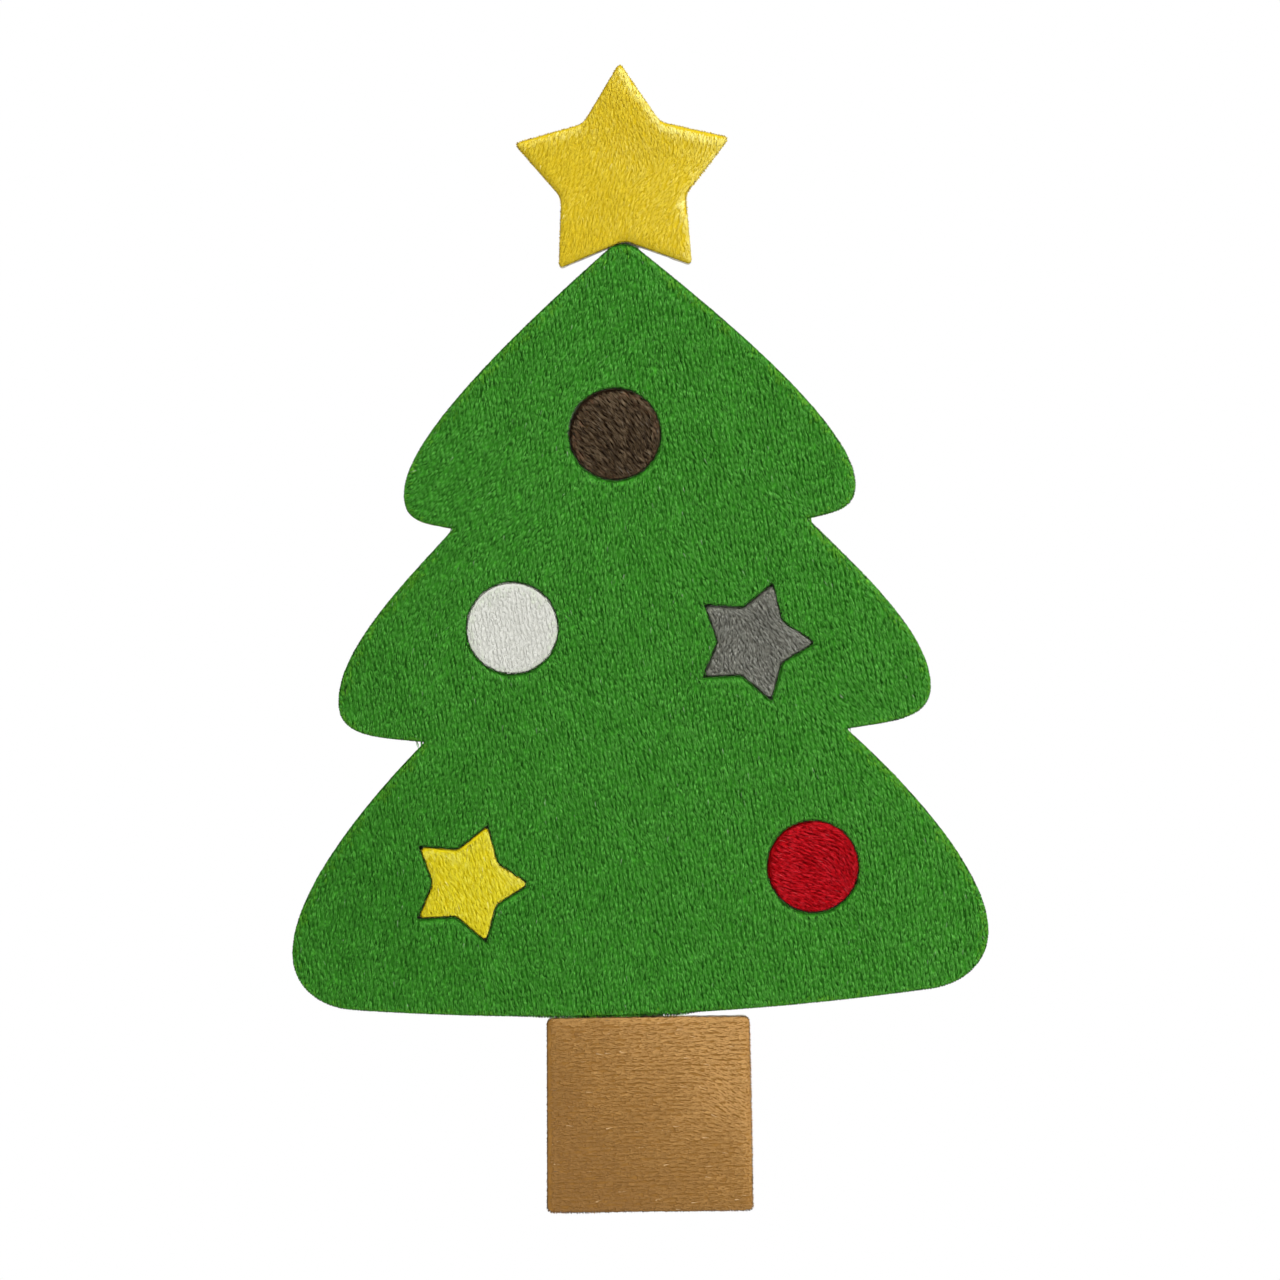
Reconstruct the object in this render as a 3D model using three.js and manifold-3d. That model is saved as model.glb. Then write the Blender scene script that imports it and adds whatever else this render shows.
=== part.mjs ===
// Flat christmas tree decoration: pieces of plush on foam, stuck side by side on one felt backing.
// Millimetres. +Z is the tree's up, the plush looks along -Y and the back lies on y = 0.
// The origin is on the back, on the tree's axis, half way up the decoration.

import * as THREE from 'three';
import Module from 'manifold-3d';
import { mergeVertices } from 'three/addons/utils/BufferGeometryUtils.js';

// Layers, from the back to the front
const feltThickness = 1;
const filmThickness = 0.15;
const foamThickness = 3;
const plushThickness = 2.2;

// Tree
const treeWidth = 109.2;
const treeHeight = 120.85;
const apexRadius = 4;
const apexSlope = 40.4; // degrees below level, where the round apex meets the flank
const hemSag = 2.4; // how far the bottom edge hangs down in its middle
const hemTilt = 0.55; // degrees, the bottom edge's right end up
const hemShift = 0.35; // the bottom edge's middle lies this far left of the axis

// Trunk
const trunkTopWidth = 31.8;
const trunkFootWidth = 32.3;
const trunkHeight = 30.4;
const trunkCornerRadius = 0.9;
const trunkOffset = 0.3; // to the right of the tree's axis
const trunkLean = 1; // degrees, its top to the right
const trunkGap = 0.5;

// Star on the apex
const topStarRadius = 17.75;
const topStarTipRadius = 0.5;
const topStarNotchRadius = 3;
const topStarOffset = 0.3;
const topStarGap = 0.25;

// Inlays, set flush in windows of the tree
const discRadius = 7.05;
const smallStarRadius = 9.4;
const smallStarTipRadius = 0.45;
const smallStarNotchRadius = 1.5;
const smallStarTurn = 20.5; // degrees clockwise
const inlayGap = 0.3;
const windowTipRadius = 0.2;

// Felt backing, drawn in behind the edges, with a neck behind each butt joint
const feltInset = 0.8;
const starNeckWidth = 5;
const trunkNeckWidth = 14;
const trunkNeckOffset = -4;
const neckReach = 4.5;

// Each tier's lowest corner and the end of its underside, out from the axis as shares of half the
// tree's width and up from the hem as shares of its height. The four pulls bend the flank and the
// corner: they are shares of the height of the flank, of the corner and of the underside's width.
const tierShares = [
  {
    corner: { out: 0.648, up: 0.682 },
    end: { out: 0.509, up: 0.637 },
    flankTop: 0.346,
    flankFoot: 0.26,
    cornerDown: 0.74,
    cornerIn: 0.675,
  },
  {
    corner: { out: 0.851, up: 0.416 },
    end: { out: 0.607, up: 0.362 },
    flankTop: 0.437,
    flankFoot: 0.31,
    cornerDown: 0.87,
    cornerIn: 0.5,
  },
  {
    corner: { out: 1, up: 0.094 },
    end: { out: 0.832, up: hemSag / treeHeight },
    flankTop: 0.41,
    flankFoot: 0.29,
    cornerDown: 0.58,
    cornerIn: 0.54,
  },
];
const flankSlopes = [apexSlope, 46, 43.6]; // degrees below level, at the top of each flank
const undersideSlopes = [12, 8.6]; // degrees above level, going out from each notch

// The inlays' places, as shares of half the tree's width and of its height
const discShares = {
  brown_disc: { out: -0.038, up: 0.754 },
  white_disc: { out: -0.348, up: 0.506 },
  red_disc: { out: 0.496, up: 0.186 },
};
const smallStarShares = {
  grey_star: { out: 0.342, up: 0.48 },
  yellow_star: { out: -0.495, up: 0.177 },
};

// Stars: the inner corners' distance from the centre, as a share of the points' distance
const starInnerShare = 0.576;
const starPoints = 5;
const starStep = Math.PI / starPoints;

const curveSteps = 14; // along each curve, and twice as many round a circle
const cornerSteps = 2; // half of those round a small corner

const plushColours = {
  tree: '#367828',
  top_star: '#d8bc32',
  trunk: '#9c723f',
  brown_disc: '#443728',
  white_disc: '#dcdcd6',
  red_disc: '#a10f19',
  grey_star: '#6a6b62',
  yellow_star: '#d1c32a',
};
const feltFinish = { color: '#e6e4dd', roughness: 0.95, metalness: 0 };
const filmFinish = { color: '#efe9d2', roughness: 0.35, metalness: 0 };
const foamFinish = { color: '#e9e7df', roughness: 0.8, metalness: 0 };
const plushFinish = { roughness: 0.9, metalness: 0 };

const { degToRad } = THREE.MathUtils;
const wasm = await Module();
wasm.setup();

// Stars: half the angle of a point, and how far an edge lies from the centre
const starAcross = starInnerShare * Math.sin(starStep);
const starAlong = 1 - starInnerShare * Math.cos(starStep);
const pointHalfAngle = Math.atan2(starAcross, starAlong);
const starEdgeShare = Math.sin(pointHalfAngle);
// The lower notch of an upright star: how steeply its two edges fall away from the middle
const notchSlope = Math.PI / 2 - starStep - pointHalfAngle;

// Heights above the trunk's foot
const hemHeight = trunkHeight + trunkGap;
const apexCentreHeight = hemHeight + treeHeight - apexRadius;
const topStarInner = starInnerShare * topStarRadius;
const notchHeight = apexCentreHeight + (apexRadius + topStarGap) / Math.cos(notchSlope);
const topStarHeight = notchHeight + topStarInner;
const overallHeight = topStarHeight + topStarRadius;

// A point at a distance from another one, in a direction given by its angle
function pointAlong(from, distance, angle) {
  return new THREE.Vector2(
    from.x + distance * Math.cos(angle),
    from.y + distance * Math.sin(angle),
  );
}

function curveTo(path, pullOne, pullTwo, end) {
  path.bezierCurveTo(pullOne.x, pullOne.y, pullTwo.x, pullTwo.y, end.x, end.y);
}

// The tree in its own frame: the axis at x = 0, the middle of the hem at y = 0
function treeOutline() {
  const halfWidth = treeWidth / 2;
  const placed = (share) => new THREE.Vector2(share.out * halfWidth, share.up * treeHeight);
  const apexCentre = treeHeight - apexRadius;
  const apexTurn = Math.PI / 2 - degToRad(apexSlope);
  const path = new THREE.Path();
  path.absarc(0, apexCentre, apexRadius, Math.PI / 2, apexTurn, true);
  let top = pointAlong(new THREE.Vector2(0, apexCentre), apexRadius, apexTurn);

  tierShares.forEach((tier, index) => {
    const corner = placed(tier.corner);
    const end = placed(tier.end);
    const flankHeight = top.y - corner.y;
    const cornerHeight = corner.y - end.y;
    const hemSlope = Math.atan2(end.y, end.x / 2);
    const underside = index < undersideSlopes.length ? degToRad(undersideSlopes[index]) : hemSlope;
    const flankPull = pointAlong(top, tier.flankTop * flankHeight, -degToRad(flankSlopes[index]));
    const footPull = pointAlong(corner, tier.flankFoot * flankHeight, Math.PI / 2);
    const downPull = pointAlong(corner, tier.cornerDown * cornerHeight, -Math.PI / 2);
    const inPull = pointAlong(end, tier.cornerIn * (corner.x - end.x), underside);
    curveTo(path, flankPull, footPull, corner);
    curveTo(path, downPull, inPull, end);
    top = end;
  });
  path.quadraticCurveTo(top.x / 2, 0, 0, 0);

  const right = path.getPoints(curveSteps);
  const left = right.slice(1, -1).map((point) => new THREE.Vector2(-point.x, point.y));
  return [...right, ...left.reverse()].map(skewed);
}

// The tilt and shift of the bottom edge, which fade away up the tree
function skewed(point) {
  const fade = (1 - point.y / treeHeight) ** 2;
  const rise = point.x * Math.tan(degToRad(hemTilt));
  return new THREE.Vector2(point.x - hemShift * fade, point.y + rise * fade);
}

// A star about its centre, one point up, its points and the notches between them rounded off
function starOutline(radius, tipRadius, notchRadius) {
  const path = new THREE.Path();
  const centre = new THREE.Vector2();
  const tipTurn = Math.PI / 2 - pointHalfAngle;
  const tipCentre = radius - tipRadius / Math.sin(pointHalfAngle);
  const notchCentre = starInnerShare * radius + notchRadius / Math.cos(notchSlope);
  for (let point = 0; point < starPoints; point++) {
    const angle = Math.PI / 2 + 2 * point * starStep;
    const tip = pointAlong(centre, tipCentre, angle);
    const notch = pointAlong(centre, notchCentre, angle + starStep);
    const inward = angle + starStep + Math.PI;
    path.absarc(tip.x, tip.y, tipRadius, angle - tipTurn, angle + tipTurn);
    path.absarc(notch.x, notch.y, notchRadius, inward + notchSlope, inward - notchSlope, true);
  }
  return path.getPoints(cornerSteps);
}

function discOutline(radius) {
  return new THREE.Path().absarc(0, 0, radius, 0, 2 * Math.PI).getPoints(curveSteps);
}

// The trunk about its centre, drawn in by a distance, with its corners rounded off
function trunkOutline(inset) {
  const path = new THREE.Path();
  const corners = [[1, 1], [-1, 1], [-1, -1], [1, -1]];
  corners.forEach(([right, up], quarter) => {
    const width = up > 0 ? trunkTopWidth : trunkFootWidth;
    const x = right * (width / 2 - inset - trunkCornerRadius);
    const y = up * (trunkHeight / 2 - inset - trunkCornerRadius);
    const start = quarter * Math.PI / 2;
    path.absarc(x, y, trunkCornerRadius, start, start + Math.PI / 2);
  });
  return path.getPoints(cornerSteps);
}

function neckOutline(width, height) {
  const right = new THREE.Vector2(width / 2, height / 2);
  const left = new THREE.Vector2(-width / 2, height / 2);
  return [right, left, right.clone().negate(), left.clone().negate()];
}

// A clockwise outline drawn in by a distance, each corner along the line that halves it
function drawnIn(outline, distance) {
  const count = outline.length;
  return outline.map((point, index) => {
    const before = outline[(index + count - 1) % count];
    const after = outline[(index + 1) % count];
    const arriving = point.clone().sub(before).normalize();
    const leaving = after.clone().sub(point).normalize();
    const inward = new THREE.Vector2(arriving.y + leaving.y, -arriving.x - leaving.x);
    return point.clone().addScaledVector(inward, 2 * distance / inward.lengthSq());
  });
}

function placedOutline(outline, place, clockwise) {
  const centre = new THREE.Vector2();
  return outline.map((point) => point.clone().rotateAround(centre, -clockwise).add(place));
}

// A flat layer standing upright: its outline lies in x and z, its back on y = 0 and its front
// towards -Y
function layerGeometry(outline, windows, thickness) {
  const shape = new THREE.Shape(outline);
  shape.holes = windows.map((window) => new THREE.Path(window));
  const geometry = new THREE.ExtrudeGeometry(shape, { depth: thickness, bevelEnabled: false });
  return geometry.rotateX(Math.PI / 2);
}

function toSolid(geometry) {
  const bare = geometry.clone();
  bare.deleteAttribute('normal');
  bare.deleteAttribute('uv');
  const merged = mergeVertices(bare);
  const vertProperties = merged.attributes.position.array;
  const triVerts = new Uint32Array(merged.index.array);
  return new wasm.Manifold(new wasm.Mesh({ numProp: 3, vertProperties, triVerts }));
}

function toGeometry(solid) {
  const mesh = solid.getMesh();
  const geometry = new THREE.BufferGeometry();
  geometry.setAttribute('position', new THREE.BufferAttribute(mesh.vertProperties, 3));
  geometry.setIndex(new THREE.BufferAttribute(mesh.triVerts, 1));
  const faceted = geometry.toNonIndexed();
  faceted.computeVertexNormals();
  return faceted;
}

function joined(geometries) {
  return toGeometry(geometries.map(toSolid).reduce((whole, next) => whole.add(next)));
}

function namedMesh(name, geometry, finish, back) {
  const mesh = new THREE.Mesh(geometry, new THREE.MeshStandardMaterial(finish));
  mesh.name = name;
  mesh.position.y = -back;
  return mesh;
}

// A cut piece: adhesive film, foam and plush of one outline, with the same windows
function laminate(name, outline, windows) {
  const piece = new THREE.Group();
  const layers = [
    ['film', filmThickness, filmFinish],
    ['foam', foamThickness, foamFinish],
    ['plush', plushThickness, { ...plushFinish, color: plushColours[name] }],
  ];
  let back = feltThickness;
  for (const [layer, thickness, finish] of layers) {
    const geometry = layerGeometry(outline, windows, thickness);
    piece.add(namedMesh(`${name}_${layer}`, geometry, finish, back));
    back += thickness;
  }
  return piece;
}

// The backing: the three silhouettes drawn in, and a neck behind each butt joint
function makeBacking() {
  const at = (x, y) => new THREE.Vector2(x, y);
  const tree = drawnIn(treeOutline(), feltInset);
  const starRadius = topStarRadius - feltInset / starEdgeShare;
  const star = starOutline(starRadius, topStarTipRadius, topStarNotchRadius + feltInset);
  const trunk = trunkOutline(feltInset);
  const starNeckHeight = topStarHeight - apexCentreHeight + neckReach;
  const starNeckMiddle = topStarHeight - starNeckHeight / 2;
  const outlines = [
    placedOutline(tree, at(0, hemHeight), 0),
    placedOutline(star, at(topStarOffset, topStarHeight), 0),
    placedOutline(trunk, at(trunkOffset, trunkHeight / 2), degToRad(trunkLean)),
    placedOutline(neckOutline(starNeckWidth, starNeckHeight), at(0, starNeckMiddle), 0),
    placedOutline(neckOutline(trunkNeckWidth, 2 * neckReach), at(trunkNeckOffset, hemHeight), 0),
  ];
  const felt = joined(outlines.map((outline) => layerGeometry(outline, [], feltThickness)));
  return namedMesh('backing_felt', felt, feltFinish, 0);
}

// The tree with its five windows, and the inlays that fill them
function makeTree() {
  const tree = new THREE.Group();
  const windows = [];
  function addInlays(shares, outline, window, turn) {
    for (const [name, share] of Object.entries(shares)) {
      const place = new THREE.Vector2(share.out * treeWidth / 2, share.up * treeHeight);
      const inlay = laminate(name, outline, []);
      inlay.position.set(place.x, 0, place.y);
      inlay.rotation.y = turn;
      tree.add(inlay);
      windows.push(placedOutline(window, place, turn));
    }
  }
  const disc = discOutline(discRadius);
  const discWindow = discOutline(discRadius + inlayGap);
  addInlays(discShares, disc, discWindow, 0);
  const star = starOutline(smallStarRadius, smallStarTipRadius, smallStarNotchRadius);
  const windowRadius = smallStarRadius + inlayGap / starEdgeShare;
  const starWindow = starOutline(windowRadius, windowTipRadius, smallStarNotchRadius - inlayGap);
  addInlays(smallStarShares, star, starWindow, degToRad(smallStarTurn));
  tree.add(laminate('tree', treeOutline(), windows));
  tree.position.z = hemHeight;
  return tree;
}

function makeTopStar() {
  const outline = starOutline(topStarRadius, topStarTipRadius, topStarNotchRadius);
  const star = laminate('top_star', outline, []);
  star.position.set(topStarOffset, 0, topStarHeight);
  return star;
}

function makeTrunk() {
  const trunk = laminate('trunk', trunkOutline(0), []);
  trunk.position.set(trunkOffset, 0, trunkHeight / 2);
  trunk.rotation.y = degToRad(trunkLean);
  return trunk;
}

const decoration = new THREE.Group();
decoration.add(makeBacking(), makeTree(), makeTopStar(), makeTrunk());
decoration.position.z = -overallHeight / 2;

export default decoration;
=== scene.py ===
# Plush tree decoration: felt back, foam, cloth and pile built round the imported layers
import math
import bpy
import numpy as np
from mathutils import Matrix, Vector
from mathutils.geometry import tessellate_polygon


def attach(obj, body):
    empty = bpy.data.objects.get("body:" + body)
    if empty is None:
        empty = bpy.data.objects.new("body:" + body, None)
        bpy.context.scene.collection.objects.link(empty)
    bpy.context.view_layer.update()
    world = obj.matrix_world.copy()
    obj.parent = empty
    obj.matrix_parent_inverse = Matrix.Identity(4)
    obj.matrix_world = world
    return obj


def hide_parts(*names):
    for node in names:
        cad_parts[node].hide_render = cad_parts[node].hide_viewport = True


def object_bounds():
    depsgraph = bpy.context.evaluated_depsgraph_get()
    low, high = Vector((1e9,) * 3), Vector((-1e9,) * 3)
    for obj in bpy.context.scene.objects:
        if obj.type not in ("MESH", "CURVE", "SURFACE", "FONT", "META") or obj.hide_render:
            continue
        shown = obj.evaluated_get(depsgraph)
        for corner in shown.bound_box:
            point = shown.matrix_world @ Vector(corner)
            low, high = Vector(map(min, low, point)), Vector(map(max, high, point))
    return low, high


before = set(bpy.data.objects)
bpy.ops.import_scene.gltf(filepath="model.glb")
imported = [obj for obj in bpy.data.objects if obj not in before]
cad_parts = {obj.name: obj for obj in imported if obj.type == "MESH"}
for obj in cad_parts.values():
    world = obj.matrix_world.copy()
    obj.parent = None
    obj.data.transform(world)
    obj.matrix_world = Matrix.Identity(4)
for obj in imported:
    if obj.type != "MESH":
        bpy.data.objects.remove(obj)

mm = 0.001  # a millimetre in metres
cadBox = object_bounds()

# Camera: straight at the face, leaning as the photo does
photoView = {
    "lens": 200.0,
    "sensor": 36.0,
    "nearest": 0.01,  # in metres, it sees nothing nearer
    "width": 200.7 * mm,  # of the picture, measured at the rounded rim of the pile
    "rimDepth": 0.9 * mm,  # that rim lies this far behind the face
    "middle": (0.97 * mm, -0.55 * mm),
    "lean": 1.6,  # degrees that the tree leans to the left
}
cameraData = bpy.data.cameras.new("camera")
cameraData.lens = photoView["lens"]
cameraData.sensor_width = photoView["sensor"]
cameraData.clip_start = photoView["nearest"]
camera = bpy.data.objects.new("camera", cameraData)
bpy.context.scene.collection.objects.link(camera)
cameraAway = photoView["width"] * photoView["lens"] / photoView["sensor"] - photoView["rimDepth"]
camera.location = (photoView["middle"][0], cadBox[0].y - cameraAway, photoView["middle"][1])
camera.rotation_euler = (math.pi / 2, math.radians(photoView["lean"]), 0)
bpy.context.scene.camera = camera
print("camera stands", round(cameraAway, 3), "m from the face")


# Node helpers; a net is the node tree of a material or of the world
def freshNet(owner):
    owner.use_nodes = True
    owner.node_tree.nodes.clear()
    return owner.node_tree


def freshMaterial(name):
    material = bpy.data.materials.new(name)
    return material, freshNet(material)


def newNode(net, kind, **settings):
    node = net.nodes.new(kind)
    for name, value in settings.items():
        setattr(node, name, value)
    return node


def objectPlace(net):
    return newNode(net, "ShaderNodeTexCoord").outputs["Object"]


def mapPlace(net):
    # How far across the piece's own map, and how far up it
    place = newNode(net, "ShaderNodeUVMap", uv_map="OFBake")
    split = newNode(net, "ShaderNodeSeparateXYZ")
    net.links.new(place.outputs["UV"], split.inputs["Vector"])
    return split.outputs["X"], split.outputs["Y"]


def ramp(net, source, stops):
    node = newNode(net, "ShaderNodeValToRGB")
    band = node.color_ramp
    while len(band.elements) < len(stops):
        band.elements.new(0.5)
    for element, (place, colour) in zip(band.elements, stops):
        element.position = place
        element.color = (*colour, 1)
    net.links.new(source, node.inputs["Fac"])
    return node.outputs["Color"]


def multiply(net, first, second):
    node = newNode(net, "ShaderNodeMix", data_type="RGBA", blend_type="MULTIPLY")
    node.inputs["Factor"].default_value = 1
    net.links.new(first, node.inputs["A"])
    net.links.new(second, node.inputs["B"])
    return node.outputs["Result"]


def blend(net, share, first, second):
    # The first surface where the share is 0, the second where it is 1
    node = newNode(net, "ShaderNodeMixShader")
    for source, socket in zip((share, first, second), node.inputs):
        net.links.new(source, socket)
    return node.outputs[0]


def noise(net, place, scale, detail, stretch=None):
    # Grain at so many repeats a metre
    if stretch:
        mapping = newNode(net, "ShaderNodeMapping")
        mapping.inputs["Scale"].default_value = stretch
        net.links.new(place, mapping.inputs["Vector"])
        place = mapping.outputs["Vector"]
    node = newNode(net, "ShaderNodeTexNoise")
    node.inputs["Scale"].default_value = scale
    node.inputs["Detail"].default_value = detail
    net.links.new(place, node.inputs["Vector"])
    return node.outputs["Fac"]


def grey(level):
    return (level, level, level)


def tinted(colour, tint):
    return tuple(min(0.95, c * t) for c, t in zip(colour, tint))


def coat(material, colour, roughness, shine, sheen=(0, 0.5), sheenTint=grey(1), relief=None):
    # The surface: sheen is its weight and roughness, relief its height, strength and depth
    net = material.node_tree
    shader = newNode(net, "ShaderNodeBsdfPrincipled")
    net.links.new(colour, shader.inputs["Base Color"])
    shader.inputs["Roughness"].default_value = roughness
    shader.inputs["Specular IOR Level"].default_value = shine
    shader.inputs["Sheen Weight"].default_value = sheen[0]
    shader.inputs["Sheen Roughness"].default_value = sheen[1]
    shader.inputs["Sheen Tint"].default_value = (*sheenTint, 1)
    if relief:
        bump = newNode(net, "ShaderNodeBump")
        bump.inputs["Strength"].default_value = relief[1]
        bump.inputs["Distance"].default_value = relief[2]
        net.links.new(relief[0], bump.inputs["Height"])
        net.links.new(bump.outputs["Normal"], shader.inputs["Normal"])
    net.links.new(shader.outputs[0], newNode(net, "ShaderNodeOutputMaterial").inputs["Surface"])
    return material


# Stage: a pale floor below, white to the camera further off, and soft studio light
studio = {
    "floorDrop": 60 * mm,  # the decoration hangs this far above the floor
    "floorSize": 6.0,
    "floorGrid": 8,
    "floorPaint": 0.8,
    "floorLift": 0.3,  # its own light near the decoration
    "shadowReach": (0.12, 0.22),  # the floor turns to plain white between these radii
    "skyLight": 0.5,
    "lamps": {  # power, place and size
        "keyLamp": (8.55, (0.55, -0.57, 0.62), 0.4),
        "fillLamp": (2.8, (-0.55, -0.85, 0.15), 0.8),
        "backLamp": (4.5, (-0.4, 0.8, 0.5), 0.8),
    },
}


def glow(net, kind, strength):
    node = newNode(net, kind)
    node.inputs["Color"].default_value = (1, 1, 1, 1)
    node.inputs["Strength"].default_value = strength
    return node.outputs[0]


def whiteToCamera(net):
    # True for what looks straight at a surface, or through glass, or in a mirror
    path = newNode(net, "ShaderNodeLightPath")
    seen = path.outputs["Is Camera Ray"]
    for ray in ("Is Glossy Ray", "Is Transmission Ray"):
        either = newNode(net, "ShaderNodeMath", operation="MAXIMUM")
        net.links.new(seen, either.inputs[0])
        net.links.new(path.outputs[ray], either.inputs[1])
        seen = either.outputs[0]
    return seen


def makeWorld():
    world = bpy.data.worlds.new("studio")
    bpy.context.scene.world = world
    net = freshNet(world)
    light = glow(net, "ShaderNodeBackground", studio["skyLight"])
    white = glow(net, "ShaderNodeBackground", 1)
    sky = blend(net, whiteToCamera(net), light, white)
    net.links.new(sky, newNode(net, "ShaderNodeOutputWorld").inputs["Surface"])


def makeFloor():
    material, net = freshMaterial("floor paint")
    paint = newNode(net, "ShaderNodeBsdfDiffuse")
    paint.inputs["Color"].default_value = (*grey(studio["floorPaint"]), 1)
    near = newNode(net, "ShaderNodeAddShader")
    net.links.new(paint.outputs[0], near.inputs[0])
    net.links.new(glow(net, "ShaderNodeEmission", studio["floorLift"]), near.inputs[1])
    length = newNode(net, "ShaderNodeVectorMath", operation="LENGTH")
    net.links.new(objectPlace(net), length.inputs[0])
    fade = newNode(net, "ShaderNodeMapRange", interpolation_type="SMOOTHSTEP")
    fade.inputs["From Min"].default_value = studio["shadowReach"][0]
    fade.inputs["From Max"].default_value = studio["shadowReach"][1]
    net.links.new(length.outputs["Value"], fade.inputs["Value"])
    white = glow(net, "ShaderNodeEmission", 1)
    seen = blend(net, fade.outputs["Result"], near.outputs[0], white)
    surface = blend(net, whiteToCamera(net), paint.outputs[0], seen)
    net.links.new(surface, newNode(net, "ShaderNodeOutputMaterial").inputs["Surface"])
    grid = studio["floorGrid"]
    bpy.ops.mesh.primitive_grid_add(x_subdivisions=grid, y_subdivisions=grid, size=studio["floorSize"])
    floor = bpy.context.active_object
    floor.name = "floor"
    floor.location.z = cadBox[0].z - studio["floorDrop"]
    floor.data.materials.append(material)


def makeLamp(name, power, place, size):
    data = bpy.data.lights.new(name, "AREA")
    data.energy = power
    data.size = size
    lamp = bpy.data.objects.new(name, data)
    lamp.location = place
    lamp.rotation_euler = Vector(place).to_track_quat("Z", "Y").to_euler()
    bpy.context.scene.collection.objects.link(lamp)


makeWorld()
makeFloor()
for name, lamp in studio["lamps"].items():
    makeLamp(name, *lamp)
bpy.context.scene.view_settings.view_transform = "Standard"
print("stage is set")


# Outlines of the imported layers
def faceRings(node):
    # The closed outlines of a layer's front face, as (x, z) points with the material on their left
    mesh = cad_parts[node].data
    mesh.calc_loop_triangles()
    points = np.array([v.co for v in mesh.vertices], float)
    triangles = np.array([t.vertices for t in mesh.loop_triangles])
    flat = np.round(points[:, [0, 2]] / (0.001 * mm)).astype(int)
    _, first, same = np.unique(flat, axis=0, return_index=True, return_inverse=True)
    same = same.ravel()
    onFace = np.abs(points[:, 1] - points[:, 1].min()) < 0.01 * mm
    edges = set()
    for a, b, c in same[triangles[onFace[triangles].all(axis=1)]]:
        edges |= {(a, b), (b, c), (c, a)}
    after = {a: b for a, b in edges if (b, a) not in edges}
    rings = []
    while after:
        start = min(after)
        ring = [start]
        while after[ring[-1]] != start:
            ring.append(after.pop(ring[-1]))
        after.pop(ring[-1])
        rings.append(points[first[ring]][:, [0, 2]])
    return rings


def roundedRing(ring, step, cornerAngle=20, muchLonger=4):
    # Closer points that follow the curves, while real corners and long straight edges stay as they are
    ahead = np.roll(ring, -1, axis=0) - ring
    length = np.linalg.norm(ahead, axis=1)
    ahead = ahead / length[:, None]
    behind = np.roll(ahead, 1, axis=0)
    lengthBehind = np.roll(length, 1)
    turn = np.degrees(np.arccos(np.clip((ahead * behind).sum(axis=1), -1, 1)))
    along = ahead + behind
    along /= np.linalg.norm(along, axis=1)[:, None]
    longAhead = length > muchLonger * lengthBehind
    longBehind = lengthBehind > muchLonger * length
    along[longAhead] = ahead[longAhead]
    along[longBehind] = behind[longBehind]
    made = []
    for i in range(len(ring)):
        j = (i + 1) % len(ring)
        leave = ahead[i] if turn[i] > cornerAngle else along[i]
        arrive = ahead[i] if turn[j] > cornerAngle else along[j]
        parts = max(1, round(length[i] / step))
        for t in np.arange(parts) / parts:
            made.append(
                (2 * t**3 - 3 * t**2 + 1) * ring[i]
                + (t**3 - 2 * t**2 + t) * length[i] * leave
                + (3 * t**2 - 2 * t**3) * ring[j]
                + (t**3 - t**2) * length[i] * arrive
            )
    return np.array(made)


def smoothRings(node, step):
    return [roundedRing(ring, step) for ring in faceRings(node)]


def ringNormals(ring):
    # Out of the material, which lies on the left of each ring's direction
    ahead = np.roll(ring, -1, axis=0) - np.roll(ring, 1, axis=0)
    ahead /= np.maximum(np.linalg.norm(ahead, axis=1), 1e-12)[:, None]
    return np.stack([ahead[:, 1], -ahead[:, 0]], axis=1)


def ringLength(ring):
    # How far round the ring each point lies, with the way back to the start as the last
    step = np.linalg.norm(np.roll(ring, -1, axis=0) - ring, axis=1)
    return np.concatenate([[0], np.cumsum(step)])


def measureCut(rings, pitch, reach=3 * mm):
    # A grid over the cut that holds how far each place is inside its edge, and which way is out
    corners = np.concatenate(rings)
    margin = 3 * pitch
    low = corners.min(axis=0) - margin
    count = np.ceil((corners.max(axis=0) + margin - low) / pitch).astype(int) + 1
    xs = low[0] + np.arange(count[0]) * pitch
    zs = low[1] + np.arange(count[1]) * pitch
    away = np.full(count, reach)
    inside = np.zeros(count, bool)
    for ring in rings:
        for a, b in zip(ring, np.roll(ring, -1, axis=0)):
            x0, x1 = np.searchsorted(xs, [min(a[0], b[0]) - reach, max(a[0], b[0]) + reach])
            z0, z1 = np.searchsorted(zs, [min(a[1], b[1]) - reach, max(a[1], b[1]) + reach])
            gx = xs[x0:x1, None]
            gz = zs[None, z0:z1]
            span = b - a
            t = ((gx - a[0]) * span[0] + (gz - a[1]) * span[1]) / max(span @ span, 1e-18)
            t = np.clip(t, 0, 1)
            gap = np.hypot(gx - a[0] - t * span[0], gz - a[1] - t * span[1])
            away[x0:x1, z0:z1] = np.minimum(away[x0:x1, z0:z1], gap)
            r0, r1 = np.searchsorted(zs, [min(a[1], b[1]), max(a[1], b[1])])
            if r1 > r0:
                cross = a[0] + (zs[r0:r1] - a[1]) / span[1] * span[0]
                inside[:, r0:r1] ^= xs[:, None] > cross[None, :]
    depth = np.where(inside, away, -away)
    slopeX, slopeZ = np.gradient(depth, pitch)
    size = np.maximum(np.hypot(slopeX, slopeZ), 0.05)
    return {
        "low": low, "pitch": pitch, "depth": depth, "outX": -slopeX / size, "outZ": -slopeZ / size,
        "area": float(inside.sum()) * pitch**2, "rings": rings,
        "size": corners.max(axis=0) - corners.min(axis=0),
    }


def outerRing(rings):
    # The ring that goes round all the others
    return max(rings, key=lambda ring: float(np.ptp(ring[:, 0])))


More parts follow.
